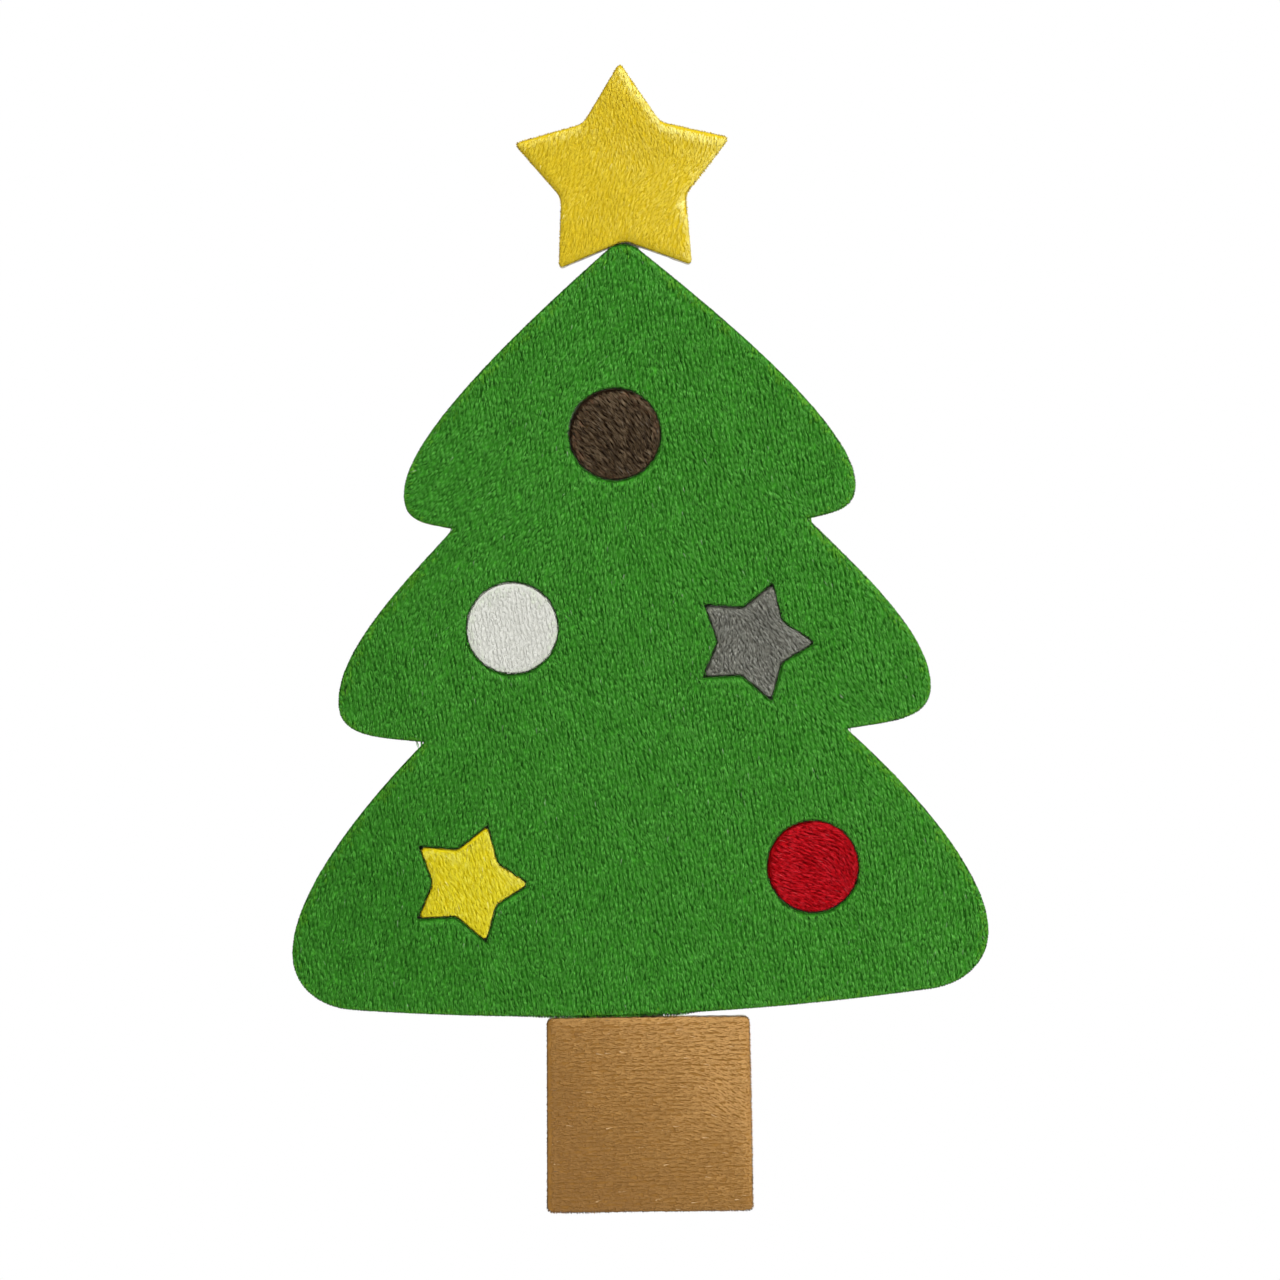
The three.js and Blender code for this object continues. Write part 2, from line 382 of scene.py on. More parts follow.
def readCut(cut, name, x, z):
    # The grid's value at any place, from the four nearest cells
    grid = cut[name]
    u = np.clip((x - cut["low"][0]) / cut["pitch"], 0, grid.shape[0] - 1.001)
    v = np.clip((z - cut["low"][1]) / cut["pitch"], 0, grid.shape[1] - 1.001)
    i = u.astype(int)
    j = v.astype(int)
    u = u - i
    v = v - j
    return (
        grid[i, j] * (1 - u) * (1 - v) + grid[i + 1, j] * u * (1 - v)
        + grid[i, j + 1] * (1 - u) * v + grid[i + 1, j + 1] * u * v
    )


def depthAt(cut, place):
    return readCut(cut, "depth", *place.T)


def wander(seed, size, waves=8):
    # A smooth random value, about -1 to 1, that changes over the given length
    draw = np.random.default_rng(seed)
    way = draw.uniform(0, 2 * math.pi, waves)
    pace = draw.uniform(0.5, 1.5, waves) * 2 * math.pi / size
    phase = draw.uniform(0, 2 * math.pi, waves)

    def value(x, z):
        total = 0
        for w, p, start in zip(way, pace, phase):
            total = total + np.sin((x * math.cos(w) + z * math.sin(w)) * p + start)
        return total / math.sqrt(waves)

    return value


def closeTo(place, x, z, radius):
    # 1 at a spot given in mm, and less away from it
    gap = np.hypot(place[:, 0] - x * mm, place[:, 1] - z * mm)
    return np.exp(-((gap / (radius * mm)) ** 2))


def heading(angle):
    return np.stack([np.cos(angle), np.sin(angle)], axis=1)


def lifted(place, y):
    # Places seen from the front, brought to that depth
    return np.stack([place[:, 0], y, place[:, 1]], axis=1)


# Mesh helpers
def makePiece(name, points, faces, material, coordinates=None, smooth=True):
    mesh = bpy.data.meshes.new(name)
    loops = np.concatenate([f.ravel() for f in faces]).astype(np.int32)
    sides = np.concatenate([np.full(len(f), f.shape[1]) for f in faces])
    starts = np.concatenate([[0], np.cumsum(sides)[:-1]]).astype(np.int32)
    mesh.vertices.add(len(points))
    mesh.vertices.foreach_set("co", np.asarray(points, np.float32).ravel())
    mesh.loops.add(len(loops))
    mesh.loops.foreach_set("vertex_index", loops)
    mesh.polygons.add(len(sides))
    mesh.polygons.foreach_set("loop_start", starts)
    mesh.polygons.foreach_set("use_smooth", np.full(len(sides), smooth))
    mesh.update(calc_edges=True)
    if coordinates is not None:
        layer = mesh.uv_layers.new(name="OFBake")
        layer.uv.foreach_set("vector", np.asarray(coordinates, np.float32)[loops].ravel())
    mesh.materials.append(material)
    piece = bpy.data.objects.new(name, mesh)
    bpy.context.scene.collection.objects.link(piece)
    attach(piece, "root")
    return piece


def rimEdges(faces):
    # Directed edges that only one face has
    ahead = np.roll(faces, -1, axis=1)
    edges = np.stack([faces.ravel(), ahead.ravel()], axis=1)
    big = int(faces.max()) + 1
    key = edges[:, 0] * big + edges[:, 1]
    back = edges[:, 1] * big + edges[:, 0]
    return edges[~np.isin(key, back)]


def gridSlab(cut, pitch, front, back, inset=0.0, wallRows=3):
    # A closed slab on a square grid snapped to the outline; a face is at one y, or gives y from (x, z, depth)
    low = cut["low"]
    count = np.ceil(cut["size"] / pitch).astype(int) + 4
    xs = low[0] + np.arange(count[0]) * pitch
    zs = low[1] + np.arange(count[1]) * pitch
    cx, cz = np.meshgrid(xs[:-1] + pitch / 2, zs[:-1] + pitch / 2, indexing="ij")
    kept = readCut(cut, "depth", cx, cz) > inset
    node = np.arange(count[0] * count[1]).reshape(count)
    quads = np.stack([node[:-1, :-1], node[1:, :-1], node[1:, 1:], node[:-1, 1:]], axis=-1)[kept]
    used, quads = np.unique(quads, return_inverse=True)
    quads = quads.reshape(-1, 4)
    gx, gz = np.meshgrid(xs, zs, indexing="ij")
    x = gx.ravel()[used]
    z = gz.ravel()[used]
    rim = rimEdges(quads)
    edge = np.unique(rim)
    for _ in range(2):
        depth = readCut(cut, "depth", x[edge], z[edge]) - inset
        x[edge] += readCut(cut, "outX", x[edge], z[edge]) * depth
        z[edge] += readCut(cut, "outZ", x[edge], z[edge]) * depth
    depth = np.maximum(readCut(cut, "depth", x, z), 0)
    frontY, backY = (f(x, z, depth) if callable(f) else np.full(len(x), f) for f in (front, back))
    points = [np.stack([x, frontY, z], axis=1), np.stack([x, backY, z], axis=1)]
    faces = [quads, quads[:, ::-1] + len(x)]
    order = np.full(len(x), -1)
    order[edge] = np.arange(len(edge))
    a = edge[order[rim[:, 0]]]
    b = edge[order[rim[:, 1]]]
    rows = [edge]
    for row in range(1, wallRows):
        share = row / wallRows
        points.append(np.stack([x[edge], frontY[edge] * (1 - share) + backY[edge] * share, z[edge]], axis=1))
        rows.append(2 * len(x) + (row - 1) * len(edge) + np.arange(len(edge)))
    rows.append(edge + len(x))
    for above, below in zip(rows[:-1], rows[1:]):
        faces.append(np.stack([above[order[a]], below[order[a]], below[order[b]], above[order[b]]], axis=1))
    return np.concatenate(points), faces


def ringSlab(rings, front, back, rows, pushOut):
    # A closed slab whose walls follow the rings in fine rows; pushOut(along, share) moves the wall out
    loops = [[Vector((p[0], p[1], 0)) for p in ring] for ring in rings]
    caps = np.array(tessellate_polygon(loops))
    flat = np.concatenate(rings)
    a, b, c = flat[caps[:, 0]], flat[caps[:, 1]], flat[caps[:, 2]]
    turn = (b[:, 0] - a[:, 0]) * (c[:, 1] - a[:, 1]) - (b[:, 1] - a[:, 1]) * (c[:, 0] - a[:, 0])
    caps[turn < 0] = caps[turn < 0][:, ::-1]
    points = []
    total = len(flat)
    outward = np.concatenate([ringNormals(ring) for ring in rings])
    along = np.concatenate([ringLength(ring)[:-1] for ring in rings])
    for row in range(rows + 1):
        share = row / rows
        place = flat + outward * pushOut(along, share)[:, None]
        height = np.full(total, front * (1 - share) + back * share)
        points.append(lifted(place, height))
    faces = [caps, caps[:, ::-1] + rows * total]
    start = 0
    for ring in rings:
        here = start + np.arange(len(ring))
        after = start + (np.arange(len(ring)) + 1) % len(ring)
        for row in range(rows):
            faces.append(np.stack([
                here + row * total, here + (row + 1) * total,
                after + (row + 1) * total, after + row * total,
            ], axis=1))
        start += len(ring)
    return np.concatenate(points), faces


# Felt back: one matted sheet with loose fibres on it
felt = {
    "flat": (107.6 * mm, 178.0 * mm),
    "thick": 1.0 * mm,
    "grid": 0.5 * mm,
    "gridStep": 0.25 * mm,
    "ringStep": 0.6 * mm,
    "relief": 0.05 * mm,
    "wornWidth": 0.5 * mm,  # it is thinner along its edge
    "wornDepth": 0.12 * mm,
    "tones": ((0.57, 0.55, 0.5), (0.7, 0.685, 0.635), (0.78, 0.77, 0.72)),
    "mottle": 260,  # repeats a metre
    "hairs": 1500,
    "hairDepth": 0.08 * mm,
    "roughness": 0.92,
    "shine": 0.15,
    "sheen": (0.15, 0.5),
    "fibres": 5200,
    "fibreLength": 4.5 * mm,
    "fibreWidth": 0.045 * mm,
    "fibreSteps": 5,
    "fibreCurl": 0.45,
    "fibreLift": 0.05,  # mm
    "fibreRoughness": 0.8,
    "fibreShine": 0.25,
    "seed": 5,
}


def feltMaterial(name):
    material, net = freshMaterial(name)
    place = objectPlace(net)
    deep, mid, bright = felt["tones"]
    hairs = noise(net, place, felt["hairs"], 3, (1, 1, 0.25))
    tone = ramp(net, noise(net, place, felt["mottle"], 4), [(0.3, deep), (0.5, mid), (0.72, bright)])
    fleck = ramp(net, hairs, [(0.3, grey(0.8)), (0.55, grey(1.0))])
    relief = (hairs, 0.5, felt["hairDepth"])
    colour = multiply(net, tone, fleck)
    return coat(material, colour, felt["roughness"], felt["shine"], felt["sheen"], relief=relief)


def layFibres(name, cut, material):
    # Thin closed threads that lie curled on the back of the felt
    draw = np.random.default_rng(felt["seed"])
    tries = cut["low"] + draw.uniform(0, 1, (felt["fibres"] * 3, 2)) * (cut["size"] + 6 * cut["pitch"])
    tries = tries[depthAt(cut, tries) > 0.1 * mm][:felt["fibres"]]
    count = len(tries)
    steps = felt["fibreSteps"]
    angle = draw.uniform(0, 2 * math.pi, count)
    curl = draw.normal(0, felt["fibreCurl"], count)
    step = felt["fibreLength"] * draw.uniform(0.4, 1.3, count) / steps
    width = felt["fibreWidth"] * draw.uniform(0.6, 1.3, count)
    tone = draw.uniform(0.05, 0.95, count)
    place = tries.copy()
    points = np.empty((count, steps + 1, 3, 3))
    marks = np.empty((count, steps + 1, 3, 2))
    for k in range(steps + 1):
        lift = draw.uniform(0.0, felt["fibreLift"], count) * mm
        thin = width * (1 - 0.6 * abs(2 * k / steps - 1) ** 2)
        across = np.stack([-np.sin(angle), np.cos(angle)], axis=1)
        for corner, (side, up) in enumerate(((-0.5, -0.3), (0.5, -0.3), (0.0, 0.6))):
            points[:, k, corner] = lifted(place + across * (side * thin)[:, None], lift + up * thin)
            marks[:, k, corner, 0] = tone + 0.004 * (corner - 1)
            marks[:, k, corner, 1] = 0.02 + 0.96 * k / steps
        angle = angle + curl
        place = place + heading(angle) * step[:, None]
        depth = depthAt(cut, place)
        short = np.maximum(0.05 * mm - depth, 0)
        place[:, 0] -= readCut(cut, "outX", *place.T) * short
        place[:, 1] -= readCut(cut, "outZ", *place.T) * short
    first = 3 * (steps + 1) * np.arange(count)[:, None]
    faces = [first + np.array([[0, 2, 1]]), first + 3 * steps + np.array([[0, 1, 2]])]
    for k in range(steps):
        for a, b in ((0, 1), (1, 2), (2, 0)):
            faces.append(first + 3 * k + np.array([[a, b, b + 3, a + 3]]))
    return makePiece(name, points.reshape(-1, 3), faces, material, marks.reshape(-1, 2))


def fibreMaterial(name):
    material, net = freshMaterial(name)
    deep, mid, bright = felt["tones"]
    tone = ramp(net, mapPlace(net)[0], [(0.05, deep), (0.5, mid), (0.95, bright)])
    return coat(material, tone, felt["fibreRoughness"], felt["fibreShine"])


def layFelt():
    cut = measureCut(smoothRings("backing_felt", felt["ringStep"]), felt["gridStep"])
    coarse = wander(felt["seed"], 3.5 * mm)
    fine = wander(felt["seed"] + 1, 1.3 * mm)

    def backFace(x, z, depth):
        worn = np.clip(1 - depth / felt["wornWidth"], 0, 1) ** 2 * felt["wornDepth"]
        return -felt["relief"] * (1 + 0.6 * coarse(x, z) + 0.4 * fine(x, z)) - worn

    points, faces = gridSlab(cut, felt["grid"], -felt["thick"], backFace)
    sheet = makePiece("felt_back", points, faces, feltMaterial("matted felt"))
    fibres = layFibres("felt_fibres", cut, fibreMaterial("loose fibre"))
    for piece in (sheet, fibres):
        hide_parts("backing_felt")
    print("felt back is", round(cut["area"] / mm**2), "square mm with", felt["fibres"], "fibres")


# Foam pads, the glue film behind them and the knitted ground of the plush in front
layers = {
    "feltFront": -1.0 * mm,
    "glueFront": -1.15 * mm,
    "foamFront": -4.15 * mm,
    "clothFront": -4.45 * mm,
    "foamThick": 3 * mm,
    "foamRows": 14,
    "foamWaist": 0.14 * mm,  # the cut foam draws in between its faces
    "poreDepth": 0.09 * mm,
    "poreSizes": (0.75 * mm, 0.4 * mm),
    "pores": 2600,  # repeats a metre
    "foamPatches": 150,
    "glueBead": 0.05 * mm,
    "beadLength": 2.5 * mm,
    "glueClouds": 420,
    "stitchStep": 0.74 * mm,
    "stitchDepth": 0.04 * mm,
    "loops": 1350,
    "thinRows": 4,  # up the wall of the glue and the cloth
    "ringStep": 0.22 * mm,
    "foamTones": ((0.5, 0.47, 0.4), (0.71, 0.695, 0.635), (0.76, 0.75, 0.7)),
    "foamStain": (0.95, 0.94, 0.9),
    "glueTones": ((0.64, 0.58, 0.44), (0.76, 0.72, 0.6)),
    "foamFinish": (0.85, 0.2),  # roughness and shine
    "glueFinish": (0.3, 0.5),
    "clothFinish": (0.9, 0.2),
    "foamRelief": (0.6, 0.1 * mm),  # strength and depth
    "glueRelief": (0.3, 0.05 * mm),
    "clothRelief": (0.5, 0.1 * mm),
}


def foamMaterial():
    material, net = freshMaterial("open foam")
    place = objectPlace(net)
    deep, mid, bright = layers["foamTones"]
    cells = newNode(net, "ShaderNodeTexVoronoi", feature="F1")
    cells.inputs["Scale"].default_value = layers["pores"]
    net.links.new(place, cells.inputs["Vector"])
    pores = cells.outputs["Distance"]
    tone = ramp(net, pores, [(0.12, deep), (0.42, mid), (0.8, bright)])
    patches = noise(net, place, layers["foamPatches"], 3)
    stain = ramp(net, patches, [(0.3, layers["foamStain"]), (0.6, grey(1.0))])
    relief = (pores, *layers["foamRelief"])
    return coat(material, multiply(net, tone, stain), *layers["foamFinish"], relief=relief)


def glueMaterial():
    material, net = freshMaterial("dried glue")
    dull, clear = layers["glueTones"]
    cloud = noise(net, objectPlace(net), layers["glueClouds"], 3)
    tone = ramp(net, cloud, [(0.35, dull), (0.6, clear)])
    return coat(material, tone, *layers["glueFinish"], relief=(cloud, *layers["glueRelief"]))


def clothMaterial(name, look):
    # Knitted ground in the pile's own colour, with pale loops
    material, net = freshMaterial(name)
    deep, mid, bright = look["tones"]
    loops = noise(net, objectPlace(net), layers["loops"], 2)
    tone = ramp(net, loops, [(0.35, tinted(deep, grey(0.8))), (0.55, mid), (0.7, bright)])
    return coat(material, tone, *layers["clothFinish"], relief=(loops, *layers["clothRelief"]))


foam = foamMaterial()
glue = glueMaterial()


def layPad(name, seed):
    rings = smoothRings(name + "_foam", layers["ringStep"])
    cells = wander(seed, layers["poreSizes"][0], 12)
    fineCells = wander(seed + 1, layers["poreSizes"][1], 12)

    def cutFoam(along, share):
        height = share * layers["foamThick"]
        pit = np.maximum(0.6 * cells(along, height) + 0.6 * fineCells(along, height) - 0.1, 0)
        return -layers["foamWaist"] * math.sin(math.pi * share) - layers["poreDepth"] * np.minimum(pit, 1.5)

    points, faces = ringSlab(rings, layers["foamFront"], layers["glueFront"], layers["foamRows"], cutFoam)
    pad = makePiece(name + "_pad", points, faces, foam)
    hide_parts(name + "_foam")


def layGlue(name, seed):
    rings = smoothRings(name + "_film", 2 * layers["ringStep"])
    beads = wander(seed + 2, layers["beadLength"])

    def squeezed(along, share):
        return layers["glueBead"] * math.sin(math.pi * share) * (0.6 + 0.6 * beads(along, 0 * along))

    points, faces = ringSlab(rings, layers["glueFront"], layers["feltFront"], layers["thinRows"], squeezed)
    film = makePiece(name + "_glue", points, faces, glue)
    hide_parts(name + "_film")


def layCloth(name, look):
    rings = smoothRings(name + "_plush", layers["ringStep"])
    turns = 2 * math.pi / layers["stitchStep"]

    def stitched(along, share):
        return -layers["stitchDepth"] * (1.2 - np.abs(np.sin(0.5 * turns * along + 1.3 * share)))

    points, faces = ringSlab(rings, layers["clothFront"], layers["foamFront"], layers["thinRows"], stitched)
    return makePiece(name + "_cloth", points, faces, clothMaterial(name + " knit", look))


# Plush: a bed of packed pile with thousands of tapered locks standing out of it
plush = {
    "height": 2.2 * mm,  # from the foam to the face
    "bedInset": 0.12 * mm,
    "bedRidges": ((1.1 * mm, 0.035), (0.5 * mm, 0.02)),  # size and height
    "bedGrain": 900,  # repeats a metre
    "bedFinish": (0.9, 0.1),
    "sheenSpread": 0.4,
    "edgeRound": 1.5 * mm,
    "windowLow": 0.85,  # share of the height that is left at the cut of a window
    "waleStep": 0.7 * mm,
    "courseStep": 0.42 * mm,
    "locksPerTuft": 5,
    "tuftSpread": 0.13 * mm,
    "tuftInset": 0.03 * mm,  # the least way from a tuft to the cut
    "lockInset": 0.02 * mm,
    "lockTurn": 6,  # degrees, from lock to lock
    "lockWidth": 0.15 * mm,
    "rootWidth": 0.4,  # share of that, to either side
    "bendWidth": 0.5,
    "lockReach": 1.5 * mm,  # how far a lock leans over, seen from the front
    "bow": 0.06 * mm,  # how far it curves to one side
    "bendAt": 0.42,  # share of its reach
    "flare": 0.25,  # how much the locks turn outwards at the cut
    "flareWidth": 1.3 * mm,
    "speckWidth": 0.9 * mm,  # burnt specks lie this near the cut
    "brushStep": 0.5 * mm,  # between the shorter tufts just inside the cut
    "brushReach": 0.75,  # their length against that of the others
    "brushRows": ((0.1, 0.4), (0.4, 0.8)),  # mm inside the cut
    "edgeStep": 0.09 * mm,  # between the locks along the cut
    "edgeTurn": 25,  # degrees
    "edgeTooth": 5,  # so many of them lean together
    "toothPull": 0.55,
    "edgeLean": (0.02, 0.16),  # mm along the lay
    "raggedSize": 1.0 * mm,
    "seamSway": 0.08 * mm,  # how far the line between two colours wanders to either side
    "rimWidth": 1.6 * mm,
    "lipShare": 0.8,  # of the locks at a pale lip
    "lipWidth": 1.2 * mm,  # the band along the rounded edge where highlight and shade from the light above are painted
    "lightWay": (0.75, 0.66),  # towards that light, seen from the front
    "windowBand": 0.5 * mm,
    "mostLocks": 19000,  # in one piece
}
seamWander = wander(7, 1.7 * mm)
seamOpen = wander(8, 2.2 * mm)
# Places across the map: burnt ends, then the pile's tones, then the rim's tones, then glints, which are
# painted highlights
toneMap = {"burnt": 0.015, "pile": (0.08, 0.46), "rim": (0.54, 0.92), "glint": 0.985}


def toneMark(kind, value):
    low, high = toneMap[kind]
    return low + (high - low) * value


def plushMaterial(name, look):
    # Colour runs across the map's width from lock to lock, and up it from root to tip; the darker roots are
    # painted shade
    material, net = freshMaterial(name)
    across, up = mapPlace(net)
    stops = [(0.03, look["burnt"])]
    for kind, tint in (("pile", grey(1)), ("rim", look["rimTint"])):
        for value, tone in zip((0, 0.5, 1), look["tones"]):
            stops.append((toneMark(kind, value), tinted(tone, tint)))
    stops.append((0.96, look["glint"]))
    low = look["rootShade"]
    shade = ramp(net, up, [(0.0, grey(low)), (0.5, grey(1 - 0.3 * (1 - low))), (1.0, grey(1.0))])
    colour = multiply(net, ramp(net, across, stops), shade)
    sheen = (look["sheen"], plush["sheenSpread"])
    return coat(material, colour, look["roughness"], look["shine"], sheen, look["tones"][2])


def bedMaterial(name, look):
    # The bed between the locks is darkened by the root shade: painted shade where the locks shadow it
    material, net = freshMaterial(name)
    deep, mid, _ = look["tones"]
    grain = noise(net, objectPlace(net), plush["bedGrain"], 3)
    dark = tinted(deep, grey(look["rootShade"]))
    tone = ramp(net, grain, [(0.35, dark), (0.6, deep), (0.75, mid)])
    return coat(material, tone, *plush["bedFinish"])


def roundOver(depth, low):
    t = np.clip(depth / plush["edgeRound"], 0, 1)
    return low + (1 - low) * np.sqrt(1 - (1 - t) ** 2)


def edgeRise(cut, look, x, z):
    # Share of the full pile height: the pile rounds over towards its outline, and less towards a window
    atWindow = roundOver(readCut(cut, "depth", x, z), plush["windowLow"])
    return np.minimum(atWindow, roundOver(readCut(cut["outline"], "depth", x, z), look["edgeLow"]))


def lockMesh(name, root, bend, tip, width, tone, look, material, draw):
    # One closed three-sided taper for each lock, bent once and as round or flat as the look says
    count = len(root)
    lean = tip - root
    side = np.stack([lean[:, 2], np.zeros(count), -lean[:, 0]], axis=1)
    side /= np.maximum(np.linalg.norm(side, axis=1), 1e-9)[:, None]
    over = np.cross(side, lean)
    over /= np.maximum(np.linalg.norm(over, axis=1), 1e-9)[:, None]
    roll = draw.uniform(0, 2 * math.pi, count)
    points = np.empty((count, 7, 3))
    marks = np.empty((count, 7, 2))
    for corner in range(3):
        angle = roll + corner * 2 * math.pi / 3
        offset = side * np.cos(angle)[:, None] + over * (look["round"] * np.sin(angle))[:, None]
        points[:, corner] = root + offset * (plush["rootWidth"] * width)[:, None]
        points[:, 3 + corner] = bend + offset * (plush["bendWidth"] * width)[:, None]
        nudge = 0.004 * (corner - 1)
        marks[:, corner] = np.stack([tone + nudge, np.full(count, 0.02)], axis=1)
        marks[:, 3 + corner] = np.stack([tone + nudge, np.full(count, 0.5)], axis=1)
    points[:, 6] = tip
    marks[:, 6] = np.stack([tone, np.full(count, 0.98)], axis=1)
    first = 7 * np.arange(count)[:, None]
    quads = [first + np.array([[a, b, b + 3, a + 3]]) for a, b in ((0, 1), (1, 2), (2, 0))]
    ends = [first + np.array([[a + 3, b + 3, 6]]) for a, b in ((0, 1), (1, 2), (2, 0))]
    faces = quads + ends + [first + np.array([[2, 1, 0]])]
    soft = look["round"] > 0.9  # flat locks keep their edges
    return makePiece(name, points.reshape(-1, 3), faces, material, marks.reshape(-1, 2), smooth=soft)


def tuftPlaces(cut, look, draw):
    # Rows of tufts along the lay, one row for each wale
    lay = math.radians(look["lay"])
    along = np.array([math.cos(lay), math.sin(lay)])
    across = np.array([-along[1], along[0]])
    middle = cut["low"] + cut["size"] / 2
    waleStep = plush["waleStep"] * look["spacing"]
    courseStep = plush["courseStep"] * look["spacing"]
    reach = np.linalg.norm(cut["size"]) / 2 + waleStep
    rows = np.arange(-reach, reach, waleStep)
    steps = np.arange(-reach, reach, courseStep)
    r, s = (g.ravel() for g in np.meshgrid(rows, steps, indexing="ij"))
    r = r + draw.normal(0, 0.08, len(r)) * waleStep
    s = s + draw.uniform(-0.45, 0.45, len(s)) * courseStep
    place = middle + r[:, None] * across + s[:, None] * along
    depth = depthAt(cut, place)
    return place[depth > plush["tuftInset"]]


def alongRings(rings, step, draw):
    # Places at about that step along every ring, the way out there, and whether the ring is the outer one
    rows = []
    outer = outerRing(rings)
    for ring in rings:
        length = ringLength(ring)
        count = int(length[-1] / step)
        at = (np.arange(count) + draw.uniform(0, 0.8, count)) / count * length[-1]
        closed = np.hstack([ring, ringNormals(ring)])
        closed = np.concatenate([closed, closed[:1]])
        columns = [np.interp(at, length, column) for column in closed.T]
        rows.append(np.stack([*columns, np.full(count, float(ring is outer))], axis=1))
    rows = np.concatenate(rows)
    return rows[:, :2], rows[:, 2:4], rows[:, 4] > 0.5


def brushPlaces(cut, look, draw):
    # Two rows of shorter tufts just inside the cut
    rows = []
    for near, far in plush["brushRows"]:
        place, out, _ = alongRings(cut["rings"], plush["brushStep"] * look["spacing"], draw)
        place = place - out * (draw.uniform(near, far, len(place)) * mm)[:, None]
        depth = depthAt(cut, place)
        rows.append(place[depth > plush["tuftInset"]])
    return np.concatenate(rows)


def layAngle(look, place):
    # The main lay, turned by each combed spot (x, z, radius in mm, degrees) and by a soft swirl
    way = np.repeat(heading(np.radians([look["lay"]])), len(place), axis=0)
    for x, z, radius, degrees in look["combed"]:
        way = way + 4 * closeTo(place, x, z, radius)[:, None] * heading(np.radians([degrees]))
    swirl = wander(look["seed"], look["swirlSize"])
    fineSwirl = wander(look["seed"] + 1, look["swirlSize"] / 4)
    turn = 0.7 * swirl(*place.T) + 0.5 * fineSwirl(*place.T)
    return np.arctan2(way[:, 1], way[:, 0]) + math.radians(look["swirl"]) * turn


def pileTones(cut, look, place, draw):
    # The tone of the pile at each place, with painted light and shade in it, and whether it takes the rim's
    # tint
    patch = wander(look["seed"] + 2, 9 * mm)
    finePatch = wander(look["seed"] + 3, 2.2 * mm)
    rimPatch = wander(look["seed"] + 4, 7 * mm)
    x, z = place.T
    count = len(place)
    value = 0.5 + look["patchy"] * (patch(x, z) + finePatch(x, z))
    value += draw.normal(0, 0.6 * look["toneSpread"], count)
    depth = np.maximum(readCut(cut, "depth", x, z), 0)
    # Painted highlight along rounded edges that face the light, and half as much painted shade along those
    # that face away
    near = np.clip(1 - depth / plush["lipWidth"], 0, 1)
    lightX, lightZ = plush["lightWay"]
    facing = readCut(cut, "outX", x, z) * lightX + readCut(cut, "outZ", x, z) * lightZ
    value += look["litEdge"] * near * np.where(facing > 0, facing, 0.5 * facing)
    # Painted light: the pile grows lighter towards the side of the piece that the light comes from
    middle = cut["low"] + cut["size"] / 2
    slopeX, slopeZ = look["paintedLightSlope"]
    value += slopeX * (x - middle[0]) / (cut["size"][0] / 2) + slopeZ * (z - middle[1]) / (cut["size"][1] / 2)
    for spotX, spotZ, radius, change in look["spots"]:
        value += change * closeTo(place, spotX, spotZ, radius)
    rimDepth = np.maximum(readCut(cut["outline"], "depth", x, z), 0)
    share = look["rimShare"] * np.clip(1 - rimDepth / plush["rimWidth"], 0, 1)
    return value, draw.uniform(0, 1, count) < share * (1 + 0.6 * rimPatch(x, z))


def markTones(value, rim):
    value = np.clip(value, 0.02, 0.98)
    return np.where(rim, toneMark("rim", value), toneMark("pile", value))


def overhang(look, place):
    # How much further the pile hangs over its cut near each shaggy spot (x, z, radius, extra reach in mm)
    extra = np.zeros(len(place))
    for x, z, radius, further in look["shaggy"]:
        extra += further * mm * closeTo(place, x, z, radius)
    return extra


def atCut(look, outer, name):
    # What the look says of its outer cut, or of the cut of a window
    return np.where(outer, look["edge"][name], look.get("window", look["edge"])[name])


def strayReach(cut, look, place, depth):
    # How far the longest locks may cross the cut there
    outer = readCut(cut["outline"], "depth", *place.T) <= depth + plush["windowBand"]
    openness = np.clip(0.5 + 0.8 * seamOpen(*place.T), 0, 1)
    return atCut(look, outer, "stray") * openness * mm + 0.8 * np.maximum(overhang(look, place), 0)


